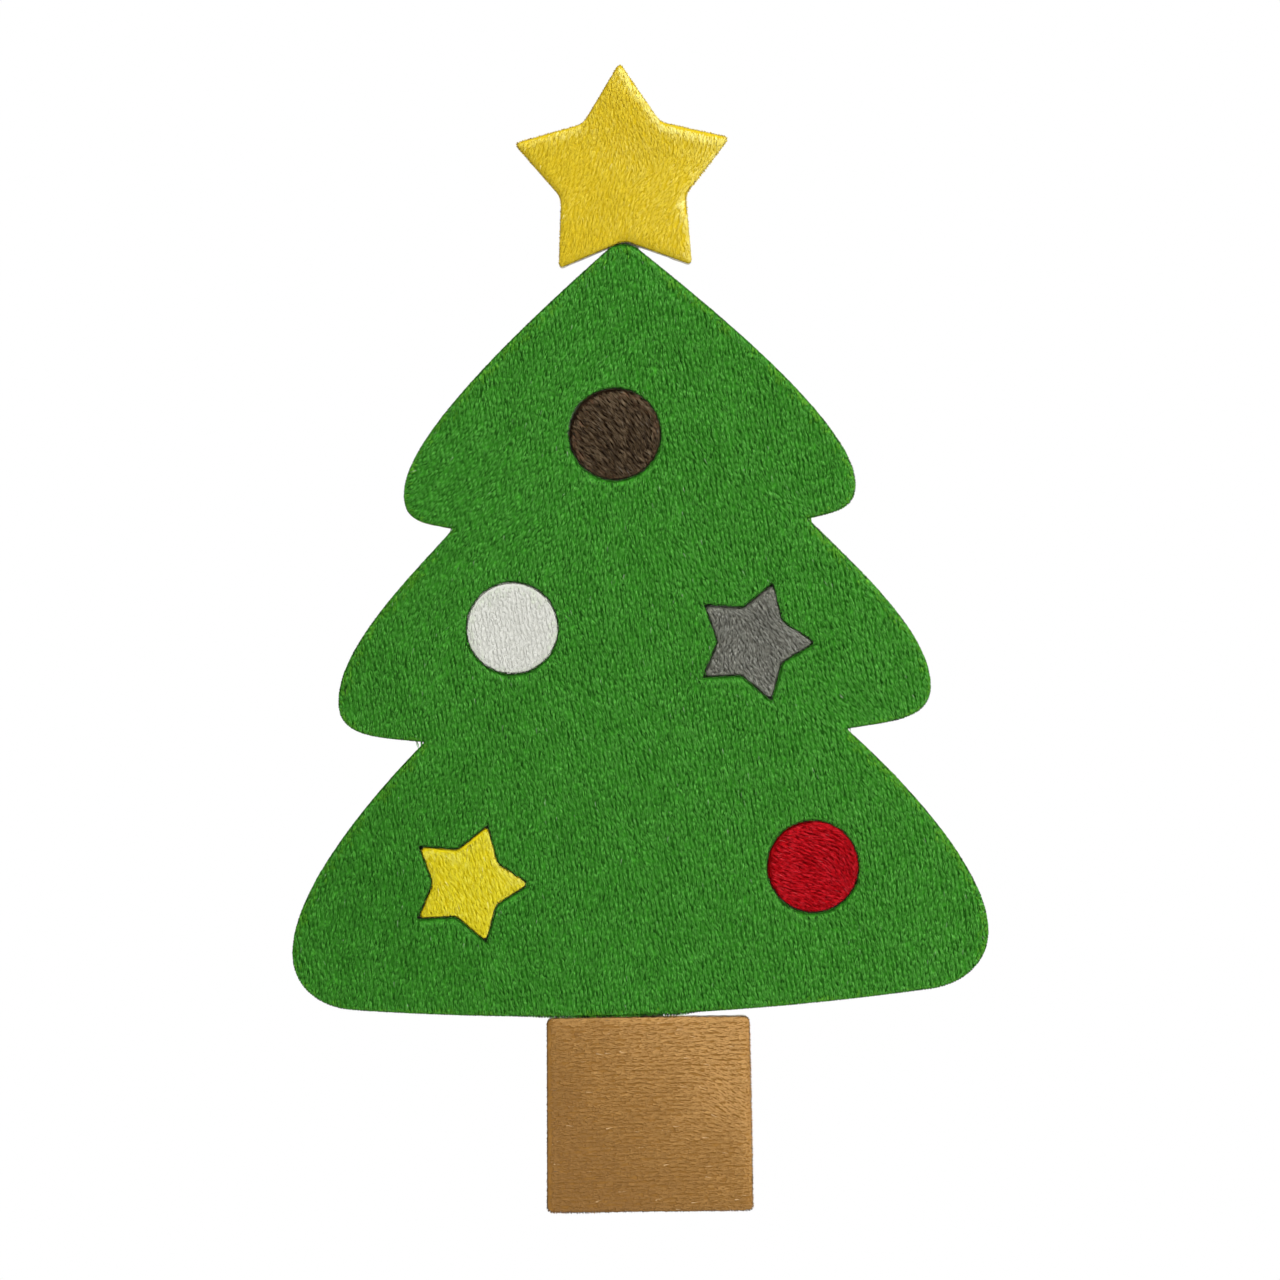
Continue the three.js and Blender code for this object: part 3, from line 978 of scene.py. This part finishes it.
def fieldLocks(cut, look, draw):
    # The locks of every tuft, drawn together towards the tuft's tip
    tufts = tuftPlaces(cut, look, draw)
    brush = brushPlaces(cut, look, draw)
    share = np.concatenate([np.ones(len(tufts)), np.full(len(brush), plush["brushReach"])])
    tufts = np.concatenate([tufts, brush])
    angle = layAngle(look, tufts) + draw.normal(0, math.radians(look["loose"]), len(tufts))
    tuftTone, tuftRim = pileTones(cut, look, tufts, draw)
    tuftReach = plush["lockReach"] * look["reach"] * share * draw.uniform(0.75, 1.15, len(tufts))
    tuftHeight = draw.normal(0, 0.05 * look["uneven"], len(tufts))
    each = np.repeat(np.arange(len(tufts)), plush["locksPerTuft"])
    base = tufts[each] + draw.normal(0, plush["tuftSpread"] * look["spacing"], (len(each), 2))
    depth = depthAt(cut, base)
    kept = depth > plush["lockInset"]
    each, base, depth = each[kept], base[kept], depth[kept]
    count = len(each)
    way = heading(angle[each] + draw.normal(0, math.radians(plush["lockTurn"]), count))
    out = np.stack([readCut(cut, "outX", *base.T), readCut(cut, "outZ", *base.T)], axis=1)
    near = np.clip(1 - depth / plush["flareWidth"], 0, 1)
    way = way + (near * plush["flare"])[:, None] * out
    way /= np.linalg.norm(way, axis=1)[:, None]
    reach = tuftReach[each] * draw.uniform(0.85, 1.15, count) * (1 - 0.25 * near**2)
    end = base + way * reach[:, None]
    gather = tufts[each] + way * tuftReach[each][:, None]
    end = end * (1 - look["gather"]) + gather * look["gather"]
    least = plush["lockInset"] - draw.uniform(0.2, 1, count) * strayReach(cut, look, base, depth)
    for _ in range(3):  # a lock stops at the cut, or strays a little over it
        past = depthAt(cut, end)
        keep = np.clip((depth - least) / np.maximum(depth - past, 1e-9), 0.08, 1)
        end = base + (end - base) * np.where(past < least, keep * 0.97, 1)[:, None]
    foamFront = layers["foamFront"]
    rise = plush["height"] * (1 + tuftHeight[each] + draw.normal(0, 0.03 * look["uneven"], count))
    root = lifted(base, foamFront - 0.5 * plush["height"] * edgeRise(cut, look, *base.T))
    bow = draw.normal(0, plush["bow"], count) * np.clip(reach / plush["lockReach"], 0, 1)
    sideways = np.stack([-way[:, 1], way[:, 0]], axis=1)
    halfway = base + (end - base) * plush["bendAt"] + sideways * bow[:, None]
    bend = lifted(halfway, foamFront - look["lie"] * rise * edgeRise(cut, look, *halfway.T))
    tip = lifted(end, foamFront - 0.98 * rise * edgeRise(cut, look, *end.T))
    tone = markTones(tuftTone[each] + draw.normal(0, 1.1 * look["toneSpread"], count), tuftRim[each])
    # A few locks take the glint tone: painted highlights
    tone = np.where(draw.uniform(0, 1, count) < look["glints"], toneMap["glint"], tone)
    singed = draw.uniform(0, 1, count) < look["specks"] * np.clip(1 - depth / plush["speckWidth"], 0, 1)
    tone = np.where(singed, toneMap["burnt"], tone)
    width = plush["lockWidth"] * look["width"] * draw.uniform(0.75, 1.25, count)
    return root, bend, tip, width, tone


def edgeLocks(cut, look, draw):
    # Locks that stand at the cut itself: singed, and more so where the cut is in shade (painted shade), paler
    # where the light reaches it (painted highlight)
    place, out, outer = alongRings(cut["rings"], plush["edgeStep"], draw)
    count = len(place)
    lay = heading(layAngle(look, place) + draw.normal(0, math.radians(plush["edgeTurn"]), count))
    width = 0.95 * plush["lockWidth"] * look["width"] * draw.uniform(0.8, 1.2, count)
    inset = 0.4 * width + draw.uniform(0, 0.04, count) * mm
    base = place - out * inset[:, None]
    ragged = wander(look["seed"] + 10, plush["raggedSize"])
    fuzz = atCut(look, outer, "fuzz") * np.clip(0.8 + 0.5 * ragged(*place.T), 0, 1) * mm
    fuzz += atCut(look, outer, "side") * plush["seamSway"] * np.clip(seamWander(*place.T), -1, 1)
    shag = overhang(look, place)
    fuzz += shag
    sunk = draw.uniform(0, 1, count) < atCut(look, outer, "sunk")
    under = atCut(look, outer, "under") * mm + np.maximum(shag, 0)
    over = np.where(sunk, under * draw.uniform(0.4, 1, count), fuzz - draw.uniform(0, 0.06, count) * mm)
    tooth = np.arange(count) // plush["edgeTooth"]
    toothMiddle = np.stack([np.bincount(tooth, place[:, k]) / np.bincount(tooth) for k in (0, 1)], axis=1)
    pull = toothMiddle[tooth] - place
    pull[np.linalg.norm(pull, axis=1) > plush["edgeTooth"] * plush["edgeStep"]] = 0
    end = place + plush["toothPull"] * pull + out * over[:, None]
    end += lay * (draw.uniform(*plush["edgeLean"], count) * mm)[:, None]
    past = depthAt(cut, end)
    end = end - out * np.maximum(-np.where(sunk, under, fuzz) - past, 0)[:, None]
    inner = base - out * 0.1 * mm
    rise = plush["height"] * draw.uniform(0.93, 1.05, count) * edgeRise(cut, look, *inner.T)
    rise = np.where(sunk, 0.8 * rise, rise)
    root = lifted(base, np.full(count, layers["clothFront"] + 0.05 * mm))
    bend = lifted((base + end) / 2, layers["foamFront"] - 0.85 * rise)
    tip = lifted(end, layers["foamFront"] - rise)
    value, rim = pileTones(cut, look, place, draw)
    # Locks at the cut are a little darker, and those sunk into the gap darker still: painted shade
    tone = markTones(value - np.where(sunk, 0.2, 0.1), rim)
    # Locks at the cut that face the light take a pale tone: painted highlight
    facing = out @ np.array(plush["lightWay"])
    pale = ~sunk & (draw.uniform(0, 1, count) < atCut(look, outer, "pale") * np.maximum(facing, 0))
    tone = np.where(pale, np.where(outer, toneMap["glint"], toneMark("pile", 0.97)), tone)
    for lipX, lipZ, radius in look["paleLips"]:
        near = np.hypot(place[:, 0] - lipX * mm, place[:, 1] - lipZ * mm) < radius * mm
        tone = np.where(near & (draw.uniform(0, 1, count) < plush["lipShare"]), toneMap["glint"], tone)
    # Singeing is real, but the share of singed locks grows where the cut faces away from the light: painted
    # shade
    patch = wander(look["seed"] + 9, 3 * mm)
    share = atCut(look, outer, "singe") * (1 - atCut(look, outer, "turn") * facing)
    share = share * (1 + 0.6 * patch(*place.T))
    singed = (draw.uniform(0, 1, count) < share) & (tone < toneMap["glint"])
    tone = np.where(singed, toneMap["burnt"], tone)
    return root, bend, tip, width, tone


def layLocks(name, cut, look, material, draw):
    field = fieldLocks(cut, look, draw)
    edge = edgeLocks(cut, look, draw)
    root, bend, tip, width, tone = (np.concatenate(pair) for pair in zip(field, edge))
    order = np.argsort(-root[:, 2], kind="stable")
    parts = max(1, math.ceil(len(root) / plush["mostLocks"]))
    pieces = []
    for part, chosen in enumerate(np.array_split(order, parts)):
        label = name + "_pile" + (f"_{part + 1}" if parts > 1 else "")
        pieces.append(lockMesh(
            label, root[chosen], bend[chosen], tip[chosen], width[chosen], tone[chosen], look, material, draw,
        ))
    print(name, "has", len(field[0]), "locks and", len(edge[0]), "at the cut, in", parts, "pieces")
    return pieces


def layBed(name, cut, look, material):
    (ridgeSize, ridgeHeight), (smallSize, smallHeight) = plush["bedRidges"]
    ridge = wander(look["seed"] + 7, ridgeSize)
    small = wander(look["seed"] + 8, smallSize)

    def bedFront(x, z, depth):
        relief = look["uneven"] * (ridgeHeight * ridge(x, z) + smallHeight * small(x, z))
        height = plush["height"] * look["packed"] * edgeRise(cut, look, x, z)
        return layers["foamFront"] - height * (1 + relief)

    points, faces = gridSlab(cut, look["bedStep"], bedFront, layers["clothFront"], plush["bedInset"])
    return makePiece(name + "_pile_bed", points, faces, material)


def layPlush(name, look):
    draw = np.random.default_rng(look["seed"])
    rings = smoothRings(name + "_plush", look["ringStep"])
    cut = measureCut(rings, look["gridStep"])
    cut["outline"] = measureCut([outerRing(rings)], look["gridStep"]) if len(rings) > 1 else cut
    bed = layBed(name, cut, look, bedMaterial(name + " bed", look))
    locks = layLocks(name, cut, look, plushMaterial(name + " pile", look), draw)
    cloth = layCloth(name, look)
    for piece in [cloth, bed, *locks]:
        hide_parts(name + "_plush")
    layPad(name, look["seed"] + 100)
    layGlue(name, look["seed"] + 200)


# How locks stand along a cut: shares that are singed, sunk or given a painted highlight, and lengths in mm;
# turn sets how much more they are singed away from the light, as painted shade
plainCut = {
    "singe": 0.15, "sunk": 0.0, "under": 0.0, "fuzz": 0.11, "turn": 0.3, "pale": 0.1, "side": 0, "stray": 0,
}
inlayCut = {**plainCut, "side": -1, "stray": 0.12}
# Tones run from dark to bright; spots are x, z and radius in mm, then what changes there
small = {
    "ringStep": 0.22 * mm, "gridStep": 0.1 * mm, "bedStep": 0.25 * mm,
    "paleLips": [], "spots": [],
}
inlay = {
    **small, "edge": inlayCut, "patchy": 0.05, "litEdge": 0.1, "paintedLightSlope": (0.0, 0.0), "edgeLow": 0.82,
    "spacing": 0.78, "rimShare": 0.5, "shaggy": [], "combed": [],
    "swirlSize": 8 * mm, "gather": 0.75,
}
tree = {
    "slot": "plush_green", "seed": 11,
    "tones": ((0.046, 0.275, 0.019), (0.093, 0.437, 0.043), (0.16, 0.59, 0.087)),
    "rimTint": (1.25, 1.03, 0.65), "rimShare": 0.7, "burnt": (0.022, 0.055, 0.016),
    "glint": (0.33, 0.5, 0.27), "rootShade": 0.42, "roughness": 0.65, "shine": 0.15, "sheen": 0.05,
    "toneSpread": 0.15, "patchy": 0.05, "litEdge": 0.15, "paintedLightSlope": (0.06, 0.0),
    "glints": 0.002, "specks": 0.03, "edgeLow": 0.6, "spacing": 1.0,
    "edge": {**plainCut, "singe": 0.5, "sunk": 0.3, "under": 0.03, "fuzz": 0.06, "turn": 0.2, "pale": 0.0},
    "window": {
        "singe": 0.05, "sunk": 0.4, "under": 0.24, "fuzz": 0.16, "turn": 0.9, "pale": 0.35,
        "side": 1, "stray": 0.17,
    },
    "shaggy": [
        (-16.3, -60.3, 1.2, 0.2), (-12, -60, 5.5, 0.3), (-2, -59.5, 5.5, 0.28), (5.4, -59.1, 2.2, 0.42),
        (3.9, -59.2, 1.4, 0.2), (36, 20, 12, 0.16), (44, -17.5, 5, 0.12), (50, -60.5, 6, 0.12),
        (-26.6, 3.0, 0.8, -0.12),
    ],
    "paleLips": [(-7.96, 34.57, 2.9)],
    "lay": -82, "swirl": 10, "swirlSize": 30 * mm, "loose": 8, "gather": 0.7,
    "combed": [
        (-26, 22, 11, -140), (-36, 25, 6, -168), (-9, 45, 9, -108), (-34, 6, 8, -106),
        (-46, -42, 14, -96), (36, -5, 22, -69), (-6, -50, 12, -84),
    ],
    "spots": [
        (-36.6, 24.0, 0.7, -0.6), (-5, -58.6, 1.0, -0.3), (3, -58.8, 0.8, -0.3),
        (-42, -40, 22, -0.17), (-36, 18, 14, -0.13),
    ],
    "reach": 0.92, "width": 0.95, "packed": 0.76, "lie": 0.87, "uneven": 1.15, "round": 0.95,
    "ringStep": 0.5 * mm, "gridStep": 0.25 * mm, "bedStep": 0.42 * mm,
}
topStar = {
    **small, "slot": "plush_gold", "seed": 21,
    "tones": ((0.615, 0.45, 0.012), (0.712, 0.541, 0.026), (0.93, 0.82, 0.185)),
    "rimTint": (1.04, 1.07, 1.6), "rimShare": 0.55, "burnt": (0.24, 0.18, 0.06), "glint": (0.94, 0.86, 0.3),
    "rootShade": 0.94, "roughness": 0.65, "shine": 0.08, "sheen": 0.03, "toneSpread": 0.06,
    "patchy": 0.03, "litEdge": 0.62, "paintedLightSlope": (0.08, 0.03), "glints": 0.001, "specks": 0.0,
    "edgeLow": 0.68, "spacing": 0.85,
    "edge": {**plainCut, "fuzz": 0.14, "turn": 1.0, "pale": 0.5},
    "shaggy": [(14.5, 71, 6, 0.38), (-15, 71, 7, 0.15)],
    "lay": -106, "swirl": 10, "swirlSize": 12 * mm, "loose": 7, "gather": 0.65,
    "combed": [(0, 84, 6, -80), (5, 80, 4, -60), (8, 69, 5, -140), (-8, 73, 3.5, -132), (12, 64, 3, 2)],
    "reach": 1.05, "width": 0.8, "packed": 0.87, "lie": 0.945, "uneven": 0.52, "round": 0.5,
}
trunk = {
    **small, "slot": "plush_tan", "seed": 31,
    "tones": ((0.296, 0.145, 0.0335), (0.378, 0.194, 0.0478), (0.57, 0.318, 0.1)),
    "rimTint": (1.0, 1.0, 0.95), "rimShare": 0.3, "burnt": (0.08, 0.06, 0.04), "glint": (0.74, 0.5, 0.25),
    "rootShade": 0.88, "roughness": 0.5, "shine": 0.25, "sheen": 0.05, "toneSpread": 0.06,
    "patchy": 0.05, "litEdge": 0.3, "paintedLightSlope": (0.4, 0.37), "glints": 0.004, "specks": 0.01,
    "edgeLow": 0.65, "spacing": 1.0,
    "edge": {**plainCut, "singe": 0.5, "fuzz": 0.12, "turn": 0.5, "pale": 0.5},
    "shaggy": [
        (17, -75, 16, 0.15), (-11, -89.5, 5, 0.2), (5, -59.5, 2.2, 0.24), (-5, -59.5, 8, 0.12),
        (-16, -59.6, 0.8, 0.1), (16.3, -59.6, 0.8, 0.12), (16.3, -90.3, 0.8, 0.12), (-16, -90.3, 0.8, 0.12),
    ],
    "lay": 0, "swirl": 6, "swirlSize": 14 * mm, "loose": 4, "gather": 0.7,
    "combed": [(13, -72, 4, -40)],
    # The bright spots at the right edge and at (-9, -68.5) are painted highlights; the dark one at (-12, -62)
    # is a speck
    "spots": [(-12, -62.0, 0.5, -0.9), (-9, -68.5, 0.4, 0.6), (15.3, -68, 1.2, 0.5), (15.5, -75, 1.2, 0.4)],
    "reach": 1.35, "width": 0.85, "packed": 0.912, "lie": 0.957, "uneven": 0.3, "round": 0.22,
}
brownDisc = {
    **inlay, "slot": "plush_brown", "seed": 41,
    "tones": ((0.031, 0.016, 0.007), (0.121, 0.074, 0.0315), (0.32, 0.232, 0.138)),
    "rimTint": (1.15, 0.9, 0.85), "rimShare": 0.4, "burnt": (0.02, 0.015, 0.01), "glint": (0.36, 0.3, 0.24),
    "rootShade": 0.3, "roughness": 0.5, "shine": 0.25, "sheen": 0.1, "toneSpread": 0.28,
    "patchy": 0.02, "paintedLightSlope": (0.0, 0.05), "glints": 0.006, "specks": 0.03, "spacing": 0.95,
    "edge": {**inlayCut, "singe": 0.12, "turn": 0.4},
    "lay": -50, "swirl": 10, "loose": 6, "combed": [(3.5, 31.9, 2.5, -78), (-7, 29.3, 3, -42)],
    "reach": 1.25, "width": 0.68, "packed": 0.7, "lie": 0.86, "uneven": 1.6, "round": 1.0,
}
whiteDisc = {
    **inlay, "slot": "plush_white", "seed": 51,
    "tones": ((0.6, 0.603, 0.549), (0.632, 0.635, 0.582), (0.665, 0.668, 0.618)),
    "rimTint": (0.96, 1.0, 0.93), "rimShare": 0.6, "burnt": (0.5, 0.5, 0.42), "glint": (0.92, 0.92, 0.9),
    "rootShade": 1.0, "roughness": 0.7, "shine": 0.1, "sheen": 0.0, "toneSpread": 0.1,
    "patchy": 0.08, "litEdge": 0.05, "glints": 0.0, "specks": 0.0,
    "edgeLow": 0.88, "spacing": 1.0, "shaggy": [(-26.4, 3.0, 0.45, 0.16)],
    "edge": {**inlayCut, "singe": 0.0, "fuzz": 0.15, "turn": 0.5, "pale": 0.2, "stray": 0.18},
    "lay": -82, "swirl": 5, "swirlSize": 9 * mm, "loose": 5, "gather": 0.5,
    "reach": 1.0, "width": 1.3, "packed": 0.9, "lie": 0.96, "uneven": 0.22, "round": 0.27,
}
redDisc = {
    **inlay, "slot": "plush_red", "seed": 61,
    "tones": ((0.42, 0.0008, 0.0045), (0.74, 0.003, 0.0115), (0.92, 0.034, 0.055)),
    "rimTint": (0.95, 1.0, 0.95), "rimShare": 0.3, "burnt": (0.07, 0.015, 0.008), "glint": (0.85, 0.12, 0.13),
    "rootShade": 0.5, "roughness": 0.6, "shine": 0.08, "sheen": 0.0, "toneSpread": 0.22,
    "glints": 0.004, "specks": 0.02,
    "lay": -20, "swirl": 10, "loose": 6, "combed": [(32, -35.6, 3, -62)],
    "reach": 1.2, "width": 0.66, "packed": 0.71, "lie": 0.86, "uneven": 1.6, "round": 1.0,
}
greyStar = {
    **inlay, "slot": "plush_grey", "seed": 71,
    "tones": ((0.17, 0.168, 0.141), (0.336, 0.339, 0.285), (0.55, 0.555, 0.492)),
    "rimTint": (1.04, 1.03, 1.0), "burnt": (0.04, 0.045, 0.03), "glint": (0.6, 0.6, 0.54),
    "rootShade": 0.45, "roughness": 0.55, "shine": 0.2, "sheen": 0.1, "toneSpread": 0.18,
    "glints": 0.006, "specks": 0.03,
    "lay": -62, "swirl": 18, "swirlSize": 7 * mm, "loose": 8, "combed": [(14, -0.7, 2.5, -100)],
    "reach": 0.9, "width": 0.64, "packed": 0.77, "lie": 0.88, "uneven": 1.2, "round": 1.0,
}
yellowStar = {
    **inlay, "slot": "plush_yellow", "seed": 81,
    "tones": ((0.68, 0.56, 0.007), (0.835, 0.74, 0.0225), (0.945, 0.89, 0.125)),
    "rimTint": (0.97, 0.96, 1.3), "burnt": (0.12, 0.09, 0.01), "glint": (0.95, 0.92, 0.4),
    "rootShade": 0.8, "roughness": 0.65, "shine": 0.08, "sheen": 0.03, "toneSpread": 0.14,
    "patchy": 0.04, "litEdge": 0.4, "glints": 0.004, "specks": 0.01,
    "edge": {**inlayCut, "singe": 0.1, "turn": 0.8, "pale": 0.3},
    "lay": -72, "swirl": 12, "loose": 7, "gather": 0.7,
    "reach": 1.05, "width": 0.68, "packed": 0.81, "lie": 0.9, "uneven": 0.8, "round": 0.65,
}
for name, look in (
    ("tree", tree), ("top_star", topStar), ("trunk", trunk), ("brown_disc", brownDisc),
    ("white_disc", whiteDisc), ("red_disc", redDisc), ("grey_star", greyStar), ("yellow_star", yellowStar),
):
    layPlush(name, look)
layFelt()

print("done")
